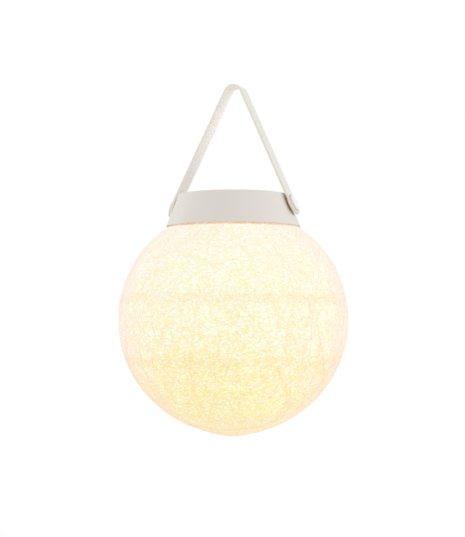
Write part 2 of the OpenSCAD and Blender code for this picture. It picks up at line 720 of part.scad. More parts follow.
module diffuser() color([0.97, 0.97, 0.95, 0.8]) difference() {
    rotate_extrude() polygon(concat(
        [[dome_flange_r, dome_flange_h + dome_flange_t], [dome_flange_r, dome_flange_h]],
        dome_arc(dome_r, dome_depth, 14),
        [for (k = [14 : -1 : 0]) dome_arc(dome_r - dome_t, dome_depth - dome_t, 14)[k]],
        [[dome_r - dome_t, dome_flange_h + dome_flange_t]]));
    at_dome_screws() translate([0, 0, dome_flange_h - cut])
        cylinder(r = small_screw_r + fit_gap, h = dome_flange_t + 2 * cut);
}

// Ring glued into the ball's mouth
module neck_ring() color(frost_colour) {
    flange_gap = 0.2;
    rotate_extrude() polygon([
        [neck_bore_r, lug_h - 1], [neck_r, lug_h - 1],
        [neck_r, crown_h(neck_r, shell_t) - flange_gap - flange_t],
        [flange_r, crown_h(flange_r, shell_t) - flange_gap - flange_t],
        [flange_r, crown_h(flange_r, shell_t) - flange_gap],
        [neck_r, crown_h(neck_r, shell_t) - flange_gap],
        [neck_r, neck_top_h], [neck_bore_r, neck_top_h]]);
    for (k = [0 : lug_count - 1]) rotate([0, 0, 360 / lug_count * k])
        translate([0, 0, tab_h])
            arc_block(tab_r, neck_bore_r + 1, tab_t, -lug_angle / 2, lug_angle / 2);
}

// The ball: a thin shell of stiffened cotton, open at the top. Its crown and bowl are formed
// apart and glued at a joint a little below the middle.
mouth_angle = acos(mouth_r / ball_reach(acos(mouth_r / ball_r)));
joint_angle = -asin(joint_drop / ball_r);
bowl_top_angle = joint_angle - asin(seat_gap / ball_r);
crown_steps = 18;
bowl_steps = 22;
crown_angles = [for (k = [1 : crown_steps])
    mouth_angle + (joint_angle - mouth_angle) * k / crown_steps];
bowl_angles = [for (k = [0 : bowl_steps - 1])
    bowl_top_angle - (bowl_top_angle + 90) * k / bowl_steps];

module shade_crown() color(cotton_colour) rotate_extrude() polygon(concat(
    [[mouth_r, shell_point(mouth_angle).y]],
    [for (up = crown_angles) shell_point(up)],
    [for (k = [crown_steps - 1 : -1 : 0]) shell_point(crown_angles[k], shell_t)],
    [[mouth_r, shell_point(mouth_angle, shell_t).y]]));

module shade_bowl() color(cotton_colour) rotate_extrude() polygon(concat(
    [for (up = bowl_angles) shell_point(up)],
    [[0, shell_point(-90).y], [0, shell_point(-90, shell_t).y]],
    [for (k = [bowl_steps - 1 : -1 : 0]) shell_point(bowl_angles[k], shell_t)]));

// One thread round the ball: each turn climbs in the inner layer and comes down in the outer
// one, and the next turn starts a little further round, so turns cross only over each other.
winding_tilt = winding_swing;
function thread_point(i) = let (
        phase = (i + 0.5) * ring_step,
        whole = 360 * floor((phase + 90) / 360),
        part = phase - whole,
        falling = part > 90,
        up = winding_mid + asin(sin(winding_tilt) * sin(phase)) * winding_swing / winding_tilt,
        around = atan2(cos(winding_tilt) * sin(part), cos(part)),
        turned = (around < -90 ? around + 360 : around) + phase / winding_turns,
        reach = ball_reach(up) - thread_d / 2 - (falling ? 0 : layer_step))
    [reach * cos(up) * cos(turned), reach * cos(up) * sin(turned), ball_z + reach * sin(up)];

thread_route = [for (i = [0 : winding_turns * rings_per_turn - 1]) thread_point(i)];

// Least distance between two straight runs, from p to p + u and from q to q + v
function within(t) = min(1, max(0, t));
function run_distance(p, u, q, v) = let (
        w = p - q,
        skew = (u * u) * (v * v) - pow(u * v, 2),
        s = skew > 1e-6 ? within(((u * v) * (v * w) - (u * w) * (v * v)) / skew) : 0,
        t = ((u * v) * s + v * w) / (v * v),
        back = within((t < 0 ? -(u * w) : u * v - u * w) / (u * u)))
    norm(w + u * (t < 0 || t > 1 ? back : s) - v * within(t));

// Least gap between runs of the thread that lie at least a third of a turn apart
function thread_clearance() = let (
        p = thread_route,
        runs = len(p) - 2,
        apart = floor(rings_per_turn / 3),
        near = 2.5 * norm(p[1] - p[0]))
    min([for (i = [0 : runs - apart], j = [i + apart : runs]) if (norm(p[i] - p[j]) < near)
        run_distance(p[i], p[i + 1] - p[i], p[j], p[j + 1] - p[j])]) - thread_d;

module shade_winding() color(cotton_colour) {
    echo(least_gap_in_winding = thread_clearance());
    tube(thread_route, thread_d, thread_sides);
}

in_lamp() handle_strap();
in_lamp() snap_button(-1);  // snap_button_left
in_lamp() snap_button(1);  // snap_button_right
in_lamp() snap_socket(-1);  // snap_socket_left
in_lamp() snap_socket(1);  // snap_socket_right
in_lamp() ball_stud(-1);  // ball_stud_left
in_lamp() ball_stud(1);  // ball_stud_right
in_lamp() stud_washers();
in_lamp() stud_nuts();
in_lamp() cap_shell();
in_lamp() panel_seal();
in_lamp() solar_board();
in_lamp() solar_cells();
in_lamp() panel_cover();
in_lamp() power_button();
in_lamp() button_seal();
in_lamp() switch_plunger();
in_lamp() tact_switch();
in_lamp() circuit_board();
in_lamp() board_components();
in_lamp() battery_holder();
in_lamp() battery_cell();
in_lamp() battery_contacts();
in_lamp() solar_leads();
in_lamp() battery_leads();
in_lamp() light_leads();
in_lamp() base_plate();
in_lamp() base_seal();
in_lamp() base_screws();
in_lamp() small_screws();
in_lamp() neck_gasket();
in_lamp() light_board();
in_lamp() light_chips();
in_lamp() diffuser();
in_lamp() neck_ring();
in_lamp() shade_crown();
in_lamp() shade_bowl();
in_lamp() shade_winding();
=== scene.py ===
# %% [markdown]
# # A cotton ball lamp
#
# The lamp is a ball wound from fine cotton thread, hung under a round tapered cap, with a flat
# strap snapped on at both sides. This lesson dresses the lamp's CAD model: the parts that are
# right as they are get a finish, and the soft ones (the ball, its winding and the strap) are
# modelled again in finer detail, in the same place.
#
# The first cell loads the CAD model. Everything is in metres, and the origin is the middle of
# the strap's round bend, where a hook would pass.

# %% Load the model and keep its box
import json
import math

import bpy
import numpy as np
from mathutils import Matrix, Vector


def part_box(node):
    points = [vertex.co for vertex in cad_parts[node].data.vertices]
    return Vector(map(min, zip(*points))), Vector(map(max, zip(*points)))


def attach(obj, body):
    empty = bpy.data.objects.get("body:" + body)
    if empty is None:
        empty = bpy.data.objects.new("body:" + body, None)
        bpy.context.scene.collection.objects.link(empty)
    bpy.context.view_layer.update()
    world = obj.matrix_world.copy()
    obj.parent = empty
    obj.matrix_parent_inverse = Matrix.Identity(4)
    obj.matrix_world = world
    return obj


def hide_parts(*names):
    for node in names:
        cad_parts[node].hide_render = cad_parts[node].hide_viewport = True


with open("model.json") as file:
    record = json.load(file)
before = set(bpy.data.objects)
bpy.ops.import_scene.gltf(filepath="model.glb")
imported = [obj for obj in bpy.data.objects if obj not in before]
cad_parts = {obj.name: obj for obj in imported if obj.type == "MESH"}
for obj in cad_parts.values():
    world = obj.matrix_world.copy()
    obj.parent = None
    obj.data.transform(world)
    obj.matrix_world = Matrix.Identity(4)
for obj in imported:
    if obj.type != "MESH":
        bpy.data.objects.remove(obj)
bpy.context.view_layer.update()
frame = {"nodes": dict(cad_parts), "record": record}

mm = 0.001
nodes = frame["nodes"]

# %% [markdown]
# ## Camera
#
# The lamp is seen from a little below its cap and from 19.5 degrees round its axis, so that one
# leg of the strap shows its inner face and the other its outer one. A long lens a metre and a
# half away keeps the cap's two rims close to straight, as a product photograph does. The
# picture is 465 wide and 537 high, so the sensor's 36 mm lie along its height.

# %% Camera
image_h = 537
focal_pixels = 1378
sensor_size = 36
view_distance = 1.5
view_azimuth = math.radians(19.5)
view_rise = math.radians(-2.6)
aim_below_cap = 45.6 * mm
aim_aside = 0.9 * mm
cap_edge_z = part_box("cap_shell")[0].z

view_back = Vector((math.sin(view_azimuth) * math.cos(view_rise),
                    -math.cos(view_azimuth) * math.cos(view_rise), math.sin(view_rise)))
view_right = Vector((math.cos(view_azimuth), math.sin(view_azimuth), 0))
aim = Vector((0, 0, cap_edge_z - aim_below_cap)) - view_right * aim_aside

camera_data = bpy.data.cameras.new("camera")
camera_data.sensor_width = sensor_size
camera_data.lens = sensor_size * focal_pixels / image_h
camera = bpy.data.objects.new("camera", camera_data)
bpy.context.scene.collection.objects.link(camera)
camera.location = aim + view_back * view_distance
camera.rotation_euler = view_back.to_track_quat("Z", "Y").to_euler()
bpy.context.scene.camera = camera
bpy.context.scene.view_settings.view_transform = "Standard"
print("Camera at", [round(v, 3) for v in camera.location], "lens", round(camera_data.lens, 1))

# %% [markdown]
# ## Flows
#
# A material is a sheet of nodes. It could be wired socket by socket, but that hides the idea
# behind it. Two small classes keep the sheets readable. The first, `Flow`, wraps a node's
# output, so that ordinary `+ - * /` on it, and on plain numbers with it, add Math nodes.

# %% Class for a node's output
class Flow:
    """One output of a node. Arithmetic on it adds Math nodes."""

    def __init__(self, sheet, socket):
        self.sheet, self.socket = sheet, socket

    def maths(self, operation, *others):
        """Adds a Math node that takes this flow first, and the others after it."""
        return self.sheet.add("Math", {"operation": operation},
                              dict(enumerate((self, *others))))

    def __add__(self, other):
        return self.maths("ADD", other)

    def __sub__(self, other):
        return self.maths("SUBTRACT", other)

    def __rsub__(self, other):
        return self * -1 + other

    def __mul__(self, other):
        return self.maths("MULTIPLY", other)

    def __truediv__(self, other):
        return self.maths("DIVIDE", other)

    def __pow__(self, other):
        return self.maths("POWER", other)

    def __abs__(self):
        return self.maths("ABSOLUTE")

    __radd__, __rmul__ = __add__, __mul__


print("Flow ready")

# %% [markdown]
# ## Sheets
#
# The second class, `Sheet`, holds the nodes of one material, or of the world. One method adds
# any other node from its type, its settings and its inputs, and the rest are short names for
# the nodes that this lamp needs often.

# %% Class for a sheet of nodes
class Sheet:
    """The nodes of one new material, or of one new world."""

    def __init__(self, name, kind=bpy.data.materials):
        self.owner = kind.new(name)
        self.owner.use_nodes = True
        self.tree = self.owner.node_tree
        self.tree.nodes.clear()

    def add(self, kind, settings=None, inputs=None, output=0):
        """Adds a node: its type, its settings first, then values or flows by socket."""
        made = self.tree.nodes.new("ShaderNode" + kind)
        for key, value in (settings or {}).items():
            if key == "stops":
                ramp = made.color_ramp.elements
                while len(ramp) < len(value):
                    ramp.new(0.5)
                for stop, (place, colour) in zip(ramp, value):
                    stop.position, stop.color = place, (*colour, 1)
            else:
                setattr(made, key, value)
        for key, value in (inputs or {}).items():
            socket = made.inputs[key]
            if isinstance(value, Flow):
                self.tree.links.new(value.socket, socket)
            elif isinstance(value, tuple) and socket.type == "RGBA":
                socket.default_value = (*value, 1)
            else:
                socket.default_value = value
        return Flow(self, made.outputs[output]) if made.outputs else None

    def place(self):
        return self.add("TexCoord", output="Object")

    def axes(self, vector):
        return [self.add("SeparateXYZ", inputs={0: vector}, output=k) for k in range(3)]

    def stretched(self, vector, scale):
        return self.add("VectorMath", {"operation": "MULTIPLY"}, {0: vector, 1: scale})

    def noise(self, vector, size, detail=2.0, output=0):
        return self.add("TexNoise", None,
                        {"Vector": vector, "Scale": 1 / size, "Detail": detail}, output)

    def cells(self, vector, size, feature="F1", output="Distance"):
        return self.add("TexVoronoi", {"feature": feature},
                        {"Vector": vector, "Scale": 1 / size}, output)

    def fade(self, value, low, high, out_low=0.0, out_high=1.0):
        """Eases from one output to the other while the value goes from low to high."""
        return self.add("MapRange", {"interpolation_type": "SMOOTHSTEP"},
                        {0: value, 1: low, 2: high, 3: out_low, 4: out_high})

    def spread(self, noise, low, high):
        """Spreads a noise, which keeps near its middle, from a low value to a high one."""
        return self.fade(noise, 0.3, 0.7, low, high)

    def off_line(self, value, pitch):
        """How far a value stands from the nearest whole multiple of a pitch."""
        return abs((value / pitch + 0.5).maths("FRACT") - 0.5) * pitch

    def ramp(self, value, *stops):
        return self.add("ValToRGB", {"stops": stops}, {0: value})

    def blend(self, factor, first, second, how="MIX"):
        """Mixes two colours, which the Mix node takes at sockets 6 and 7 and gives at 2."""
        return self.add("Mix", {"data_type": "RGBA", "blend_type": how},
                        {0: factor, 6: first, 7: second}, 2)

    def bump(self, height, depth):
        return self.add("Bump", inputs={"Height": height, "Distance": depth})

    def seen(self):
        """1 for what the camera sees itself, in gloss or through glass, and 0 otherwise."""
        straight, in_gloss, through_glass = [
            self.add("LightPath", output=name)
            for name in ("Is Camera Ray", "Is Glossy Ray", "Is Transmission Ray")]
        return straight.maths("MAXIMUM", in_gloss).maths("MAXIMUM", through_glass)

    def finish(self, **inputs):
        """Ends the sheet in a Principled shader. Socket names are written with _ for spaces."""
        sockets = {key.replace("_", " "): value for key, value in inputs.items()}
        shader = self.add("BsdfPrincipled", inputs=sockets)
        self.add("OutputMaterial", inputs={0: shader})
        return self.owner


print("Sheet ready")

# %% [markdown]
# ## Helpers for modelling
#
# Pieces start from a primitive and are shaped in edit mode. An operator acts on all that is
# selected, so these helpers see to it that nothing else is, apply modifiers in order, and leave
# each finished mesh holding its own place, with its object at the origin. Written out for each
# piece, these steps would hide what is special about it.

# %% Helpers that add and shape a piece
def only(piece):
    """Selects one piece and nothing else."""
    bpy.ops.object.select_all(action="DESELECT")
    piece.select_set(True)
    bpy.context.view_layer.objects.active = piece


def added(add_primitive, name, **settings):
    """Adds a primitive, names it and writes its place into its mesh."""
    bpy.ops.object.select_all(action="DESELECT")
    add_primitive(**settings)
    piece = bpy.context.object
    piece.name = piece.data.name = name
    only(piece)
    bpy.ops.object.transform_apply(location=True, rotation=True, scale=True)
    return piece


def modified(piece, kind, **settings):
    """Adds one modifier and applies it."""
    only(piece)
    modifier = piece.modifiers.new(kind.lower(), kind)
    for key, value in settings.items():
        setattr(modifier, key, value)
    bpy.ops.object.modifier_apply(modifier=modifier.name)


def cut_off_above(piece, height, fill):
    """Cuts a piece off level, and fills the cut if asked."""
    only(piece)
    bpy.ops.object.mode_set(mode="EDIT")
    bpy.ops.mesh.select_all(action="SELECT")
    bpy.ops.mesh.bisect(plane_co=(0, 0, height), plane_no=(0, 0, 1), use_fill=fill,
                        clear_outer=True)
    bpy.ops.object.mode_set(mode="OBJECT")


def smooth(piece, angle=40):
    """Smooths the shading, apart from edges sharper than the angle, in degrees."""
    only(piece)
    bpy.ops.object.shade_smooth_by_angle(angle=math.radians(angle))


print("Shaping helpers ready")

# %% [markdown]
# ## Helpers for points
#
# A bend or a bulge that follows a formula could be approached with many small moves in edit
# mode. It is truer to work out each point's place, so these helpers read a mesh's points as
# rows of numbers and write them back.

# %% Helpers that read and write points
def points_of(piece):
    points = np.empty(len(piece.data.vertices) * 3)
    piece.data.vertices.foreach_get("co", points)
    return points.reshape(-1, 3)


def set_points(piece, points):
    piece.data.vertices.foreach_set("co", np.ascontiguousarray(points).ravel())
    piece.data.update()


def keep_attribute(piece, name, values, kind="FLOAT"):
    """Keeps a number or a vector for each point, for the materials to read."""
    layer = piece.data.attributes.new(name, kind, "POINT")
    layer.data.foreach_set("value" if kind == "FLOAT" else "vector",
                           np.ascontiguousarray(values, dtype=np.float32).ravel())


def triangles(piece):
    return sum(len(face.vertices) - 2 for face in piece.data.polygons)


print("Point helpers ready")

# %% [markdown]
# ## Studio light
#
# The lamp hangs in front of plain white. A lit white wall could stand behind it, but it would
# throw its light on the lamp too. So the world is white only where the camera looks past the
# lamp, and a plain even grey for the light that falls on it, and a colour renders about as it is
# written. Two soft lamps, one at each side, lift the edges of the cap a little over its middle.

# %% World and lamps
ambient = 0.97
sheet = Sheet("studio", bpy.data.worlds)
strength = ambient + (1 - ambient) * sheet.seen()
background = sheet.add("Background", inputs={"Color": (1, 1, 1), "Strength": strength})
sheet.add("OutputWorld", inputs={0: background})
bpy.context.scene.world = sheet.owner


def soft_lamp(name, place, size, watts):
    """A round lamp that faces the object."""
    data = bpy.data.lights.new(name, "AREA")
    data.shape, data.size, data.energy = "DISK", size, watts
    lamp = bpy.data.objects.new(name, data)
    bpy.context.scene.collection.objects.link(lamp)
    lamp.location = place
    lamp.rotation_euler = (Vector(place) - aim).to_track_quat("Z", "Y").to_euler()


soft_lamp("left_lamp", place=(-2.0, 0.2, 0.3), size=1.4, watts=4.5)
soft_lamp("right_lamp", place=(1.8, 0.5, -0.35), size=1.2, watts=8)
print("World at", ambient, "and two lamps")

# %% [markdown]
# ## Floor
#
# The pale floor lies below the hanging ball and keeps its shadow close by. It could be a wide
# sheet swept up behind the lamp, but a flat disc is simpler: further out it turns to plain
# white, so no edge shows. Its underside is clear, so that the ball can also be looked at from
# below.

# %% Floor
floor_r = 6
floor_z = -0.62
shadow_reach, white_reach = 0.35, 0.85
least_white = 0.55
floor = added(bpy.ops.mesh.primitive_circle_add, "floor", vertices=96, radius=floor_r,
              fill_type="NGON", location=(0, 0, floor_z))

sheet = Sheet("pale_floor")
spot = sheet.place()
x, y, _ = sheet.axes(spot)
far = sheet.fade((x * x + y * y) ** 0.5, shadow_reach, white_reach)
grain = sheet.noise(spot, 4 * mm, detail=3)
paint = sheet.blend(grain, (0.86, 0.86, 0.85), (0.9, 0.9, 0.89))
lit = sheet.add("BsdfDiffuse", inputs={"Color": paint})
white = sheet.add("Emission", inputs={"Color": (1, 1, 1), "Strength": 1})
whiteness = sheet.seen() * (least_white + (1 - least_white) * far)
upper = sheet.add("MixShader", inputs={0: whiteness, 1: lit, 2: white})
under = sheet.add("NewGeometry", output="Backfacing")
clear = sheet.add("BsdfTransparent")
both = sheet.add("MixShader", inputs={0: under, 1: upper, 2: clear})
sheet.add("OutputMaterial", inputs={0: both})
floor.data.materials.append(sheet.owner)
print("Floor at", floor_z)

# %% [markdown]
# ## The ball's outline
#
# A thread ball is wound on a balloon or a hollow form: it is almost a true ball, a little drawn
# in at its crown and drawn out to a soft tip below, where the threads pass over each other most.
# It could be sculpted, but then each layer would have to be fitted to the one below. So one
# function gives how far the surface lies from the middle at any height, and every piece of the
# ball follows it.

# %% Outline of the ball
ball_r = 124.6 * mm
crown_draw = 2.6 * mm
tip_rise = 2.2 * mm
tip_spread = math.radians(10)
mouth_r = 64 * mm
tip_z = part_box("shade_bowl")[0].z
ball_z = tip_z + ball_r + tip_rise


def ball_reach(up):
    """Distance from the ball's middle to its outside, at an angle above the middle."""
    return (ball_r - crown_draw * np.maximum(0, np.sin(up)) ** 2
            + tip_rise * np.exp(-((math.pi / 2 + up) / tip_spread) ** 2))


print("Ball's middle at", round(ball_z, 4), "cap's edge at", round(cap_edge_z, 4))

# %% [markdown]
# ## Row of holes and belts of thread
#
# Round the ball, a little below its middle, runs a row of small bright holes in pairs, where the
# two halves of the skin are joined. More thread lies in a belt above it and in one below, and
# they let less light through. Holes could be cut and belts wound, but all that shows of them is
# how bright they are. So both are masks from a point's own place on the ball, and the skin and
# the threads over it show them in the same spot.

# %% Masks of the holes and the belts
hole_pairs = 23
hole_row_z = ball_z - 15 * mm
hole_turn = math.radians(-65.1)
hole_apart = math.radians(2.28)
hole_r = 1.9 * mm
hole_core_r = 0.45 * hole_r
high_belt_z, low_belt_z = ball_z + 20 * mm, ball_z - 45 * mm
belt_half_w = 9 * mm
low_belt_share = 0.7


def row_of_holes(sheet, spot):
    """A mask of the small holes that stand in pairs round the ball."""
    x, y, z = sheet.axes(spot)
    angle = y.maths("ARCTAN2", x) - hole_turn
    side = (sheet.off_line(angle, 2 * math.pi / hole_pairs) - hole_apart) * ball_r
    up = z - hole_row_z
    gap = (side * side + up * up) ** 0.5
    return sheet.fade(gap, hole_r, hole_core_r)


def belts(sheet, z):
    """The two darker belts of thicker winding."""
    high = sheet.fade(abs(z - high_belt_z), belt_half_w, 1 * mm)
    low = sheet.fade(abs(z - low_belt_z), belt_half_w, 2 * mm)
    return high + low_belt_share * low


print("Masks ready:", hole_pairs, "pairs of holes")

# %% [markdown]
# ## Glow of the ball
#
# The lamp is lit. Its light comes through the cotton, so the cotton itself shines: palest near
# the light at the top, warmer and yellower towards the tip, and a little darker in the belts and
# in one thick patch low on the front. Right under the cap it is whitest, then a thin orange line
# shows where the light slips out, and the very edge is dim. A lamp inside could light a thin
# skin, but hundreds of turns of thread would take long to render clean, and the export keeps no
# such light. So the glow is a colour by height. The skin and the threads share one function, and
# each gives its own shades, from the tip up. The lines at the cap are given in millimetres below
# its edge: where each begins, and where it is full.

# %% Glow shared by the skin and the threads
shade_heights = (0.0, 0.34, 0.44, 0.95)
belt_colour, belt_share = (0.74, 0.56, 0.2), 0.17
thick_patch = (1 * mm, -111 * mm, ball_z - 54 * mm)
patch_tint, patch_share = (1.0, 0.985, 0.84), 0.7
patch_edge = (80 * mm, 15 * mm)
orange_line, shaded_line = (0.76, 0.54, 0.1), (0.6, 0.43, 0.34)
leak_share = 0.85
leak_edge, orange_edge, shaded_edge = (4.6, 3.4), (2.7, 2.2), (1.6, 1.1)


def glow(sheet, spot, shades, leak):
    """The cotton's shine by height. The leak is the colour right under the cap."""
    z = sheet.axes(spot)[2]
    part = (z - tip_z) / (cap_edge_z - tip_z)
    shine = sheet.ramp(part, *zip(shade_heights, shades))
    shine = sheet.blend(belts(sheet, z) * belt_share, shine, belt_colour)
    from_patch = sheet.add("VectorMath", {"operation": "DISTANCE"},
                           {0: spot, 1: thick_patch}, "Value")
    near_patch = sheet.fade(from_patch, *patch_edge)
    shine = sheet.blend(near_patch * patch_share, shine, patch_tint, "MULTIPLY")
    below = (cap_edge_z - z) / mm
    shine = sheet.blend(sheet.fade(below, *leak_edge) * leak_share, shine, leak)
    shine = sheet.blend(sheet.fade(below, *orange_edge), shine, orange_line)
    # The dim line at the very edge is painted shade under the cap's rim.
    return sheet.blend(sheet.fade(below, *shaded_edge), shine, shaded_line)


print("Glow ready:", len(shade_heights), "shades by height")

# %% [markdown]
# ## Flecks and lines
#
# Seen close, the glow is broken up. Where the cotton is thin it shows as small bright flecks,
# and where threads cross it shows as fine darker lines, which stand out more towards the tip.
# Thousands of finer threads could be laid, but they would be slow and hardly seen one by one.
# Cell patterns give both at once: a cell's middle is a fleck, and its edge is a line. The cells
# are squeezed in height, because most of the thread lies level, and bent by noise, so that they
# don't look like a net. A soft cloud pattern gives more lines in some places and more flecks in
# others. How far a line or a fleck reaches into its cell is given as a share of the cell.

# %% Flecks and lines in the glow
cloud_size = 11 * mm
net_size, fleck_size = 9 * mm, 4.4 * mm
net_edge, line_edge, fleck_edge = (0.06, 0.015), (0.14, 0.03), (0.5, 0.15)
bend_size, bend_reach = 6 * mm, 4 * mm
squeeze = 1.9
pale_z, deep_z = ball_z + 70 * mm, ball_z - 50 * mm
thin_line = (0.99, 0.82, 0.38)
fleck_colour = (0.8, 0.85, 0.77)


def flecked(sheet, spot, shine, share):
    """Breaks the shine up into flecks and lines."""
    z = sheet.axes(spot)[2]
    share = share * sheet.fade(z, pale_z, deep_z, 0.95, 1.3)
    bend = sheet.noise(spot, bend_size, output="Color")
    bent = sheet.add("VectorMath", {"operation": "MULTIPLY_ADD"},
                     {0: bend, 1: (bend_reach, bend_reach, bend_reach), 2: spot})
    bent = sheet.stretched(bent, (1, 1, squeeze))
    cloud = sheet.noise(spot, cloud_size, 3)
    net = sheet.fade(sheet.cells(bent, net_size, "DISTANCE_TO_EDGE"), *net_edge)
    line = sheet.fade(sheet.cells(bent, fleck_size, "DISTANCE_TO_EDGE"), *line_edge)
    line = line * sheet.fade(cloud, 0.3, 0.65, 0.3, 0.9)
    fleck = sheet.fade(sheet.cells(bent, fleck_size), *fleck_edge)
    fleck = fleck * sheet.fade(cloud, 0.7, 0.35, 0.25, 0.85)
    shine = sheet.blend(line.maths("MAXIMUM", net) * share, shine, thin_line, "MULTIPLY")
    return sheet.blend(fleck * share, shine, fleck_colour)


print("Flecks ready:", round(fleck_size / mm, 1), "mm cells")

# %% [markdown]
# ## Skin of the ball
#
# Glue turns the innermost threads into a thin stiff skin, open at the top where the light unit
# goes in. It could be spun from a drawn profile. Here a ball primitive is cut open at the crown,
# each point is moved onto the ball's outline, and Solidify gives it a wall, which keeps its
# faces even and its rim round.

# %% Shape of the skin
skin_below = 0.95 * mm
skin_t = 0.6 * mm
mouth_up = math.acos(mouth_r / ball_r)
mouth_z = ball_z + float(ball_reach(mouth_up)) * math.sin(mouth_up)

skin = added(bpy.ops.mesh.primitive_uv_sphere_add, "ball_skin", segments=160, ring_count=110,
             radius=ball_r, location=(0, 0, ball_z))
cut_off_above(skin, mouth_z, fill=False)

points = points_of(skin) - (0, 0, ball_z)
away = np.linalg.norm(points, axis=1, keepdims=True)
up = np.arcsin(points[:, 2:] / away)
set_points(skin, points / away * (ball_reach(up) - skin_below) + (0, 0, ball_z))
modified(skin, "SOLIDIFY", thickness=skin_t, offset=-1)
smooth(skin)
print("Ball skin:", triangles(skin), "triangles")

# %% [markdown]
# ## Finish of the skin
#
# The skin is fluffy cotton stuck flat. A shader that lets light through could show that, but it
# renders grainy. So its own colour is kept dark, because nearly all of what is seen is the glow,
# and a sheen gives the rim of the ball its soft pink. Fine web and broader mottle make it rough
# and uneven.

# %% Finish of the skin
rim_sheen = (1.0, 0.75, 0.95)
skin_shades = ((0.775, 0.81, 0.3), (0.785, 0.82, 0.54), (0.785, 0.85, 0.7),
               (0.785, 0.875, 0.77))
skin_leak = (0.79, 0.9, 0.8)

sheet = Sheet("cotton_skin")
spot = sheet.place()
mottle = sheet.noise(spot, 9 * mm, detail=3)
web = sheet.noise(spot, 1.6 * mm)
shine = glow(sheet, spot, skin_shades, skin_leak)
shine = flecked(sheet, spot, shine, share=1.0)
shine = sheet.blend(row_of_holes(sheet, spot), shine, (0.83, 0.84, 0.84))
skin.data.materials.append(sheet.finish(
    Base_Color=sheet.blend(web, (0.21, 0.2, 0.18), (0.18, 0.16, 0.15)),
    Emission_Color=shine, Emission_Strength=1.0,
    Roughness=sheet.spread(mottle, 0.7, 0.9),
    Sheen_Weight=0.5, Sheen_Roughness=0.5, Sheen_Tint=rim_sheen,
    Normal=sheet.bump(web + 0.5 * mottle, 0.2 * mm)))
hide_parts("shade_crown", "shade_bowl")
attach(skin, "shade")
print("Skin finished:", len(sheet.tree.nodes), "nodes")

# %% [markdown]
# ## One turn of thread
#
# Over the skin run hundreds of turns of thread. Each could be a curve with a round section, but
# they are all rings about as wide as the ball. So one turn is modelled once, as a thin torus,
# and kept as numbers: how far round each point lies, how far out from the thread's middle and
# how far to its side. A copy can then be laid along any path.

# %% One turn, kept as numbers
turn_steps = 96
thread_sides = 5
thread_r = 0.27 * mm

one_turn = added(bpy.ops.mesh.primitive_torus_add, "one_turn", major_segments=turn_steps,
                 minor_segments=thread_sides, major_radius=ball_r, minor_radius=thread_r)
turn_points = points_of(one_turn)
turn_phase = np.arctan2(turn_points[:, 1], turn_points[:, 0])
turn_out = np.hypot(turn_points[:, 0], turn_points[:, 1]) - ball_r
turn_side = turn_points[:, 2]
turn_faces = np.array([face.vertices[:] for face in one_turn.data.polygons])
bpy.data.objects.remove(one_turn)
print("One turn:", len(turn_points), "points")

# %% [markdown]
# ## Laying a turn on the ball
#
# A turn leans its own way and wanders a little, because it is laid by hand. It could be drawn
# freehand, but there are hundreds. So a ring is turned, moved a little off the middle, made to
# wander by a few waves, and laid on the ball's outline.

# %% Lay one turn
wander_waves = (2, 3, 5, 8, 13, 19)
any_phase = 6.3
dip, dips_round = 0.12 * mm, 7


def laid_turn(rng, tilt, around, off, depth, wander, thick):
    """The points of one turn: its plane's tilt and direction, how far it runs off the middle,
    how deep it lies, how far it wanders sideways and how thick it is."""
    face = Matrix.Rotation(around, 3, "Z") @ Matrix.Rotation(tilt, 3, "X")
    first, second, third = (np.array(face.col[k]) for k in range(3))
    turn = turn_phase + rng.uniform(0, 2 * math.pi)
    lean = off
    for wave in wander_waves:
        sway = wander / wave ** 0.6 * rng.normal()
        lean = lean + sway * np.sin(wave * turn + rng.uniform(0, any_phase))
    deep = depth + dip * np.sin(dips_round * turn + rng.uniform(0, any_phase))
    ring = np.outer(np.cos(turn), first) + np.outer(np.sin(turn), second)
    out = ring * np.cos(lean)[:, None] + third * np.sin(lean)[:, None]
    side = third * np.cos(lean)[:, None] - ring * np.sin(lean)[:, None]
    reach = ball_reach(np.arcsin(np.clip(out[:, 2], -1, 1))) - deep + turn_out * thick
    return out * reach[:, None] + side * (turn_side * thick)[:, None] + (0, 0, ball_z)


print("Waves of one turn:", len(wander_waves))

# %% [markdown]
# ## A winding of many turns
#
# Many turns make one winding, which is one object, because a separate object for each thread
# would only be slower. Each point keeps its turn's tone, and whether it lies on the thread's top
# or flank, for the finish to read. The turns are cut off level where the mouth is, out of sight
# under the cap's edge.

# %% Join turns into a winding
cut_z = cap_edge_z + 1.2 * mm


def winding(name, seed, turns, recipe, tone_from=0.0):
    """One object of many turns. The recipe gives each turn's lie. A turn's tone is drawn from
    a range of 1 that begins at the winding's own start."""
    rng = np.random.default_rng(seed)
    laid, tones = [], []
    for _ in range(turns):
        laid.append(laid_turn(rng, **recipe(rng)))
        tones.append(np.full(len(turn_points), tone_from + rng.uniform()))
    faces = np.concatenate([turn_faces + len(turn_points) * k for k in range(turns)])
    mesh = bpy.data.meshes.new(name)
    mesh.from_pydata(np.concatenate(laid), [], faces)
    piece = bpy.data.objects.new(name, mesh)
    bpy.context.scene.collection.objects.link(piece)
    keep_attribute(piece, "tone", np.concatenate(tones))
    keep_attribute(piece, "outward", np.tile(turn_out / thread_r, turns))
    cut_off_above(piece, cut_z, fill=True)
    smooth(piece, 75)
    print(name, triangles(piece), "triangles")
    return piece


print("Windings are cut off at", round(cut_z, 4))

# %% [markdown]
# ## Four windings
#
# The ball is wound in stages, and one recipe for all turns would make it look alike all over.
# Level turns keep mostly to the upper half, slanting ones cross each other everywhere, and steep
# ones meet at the tip. A few stray turns, laid last and thicker, lie on top, and show as single
# darker strokes low on the ball. Each winding has its own seed, so every run gives the same
# threads.

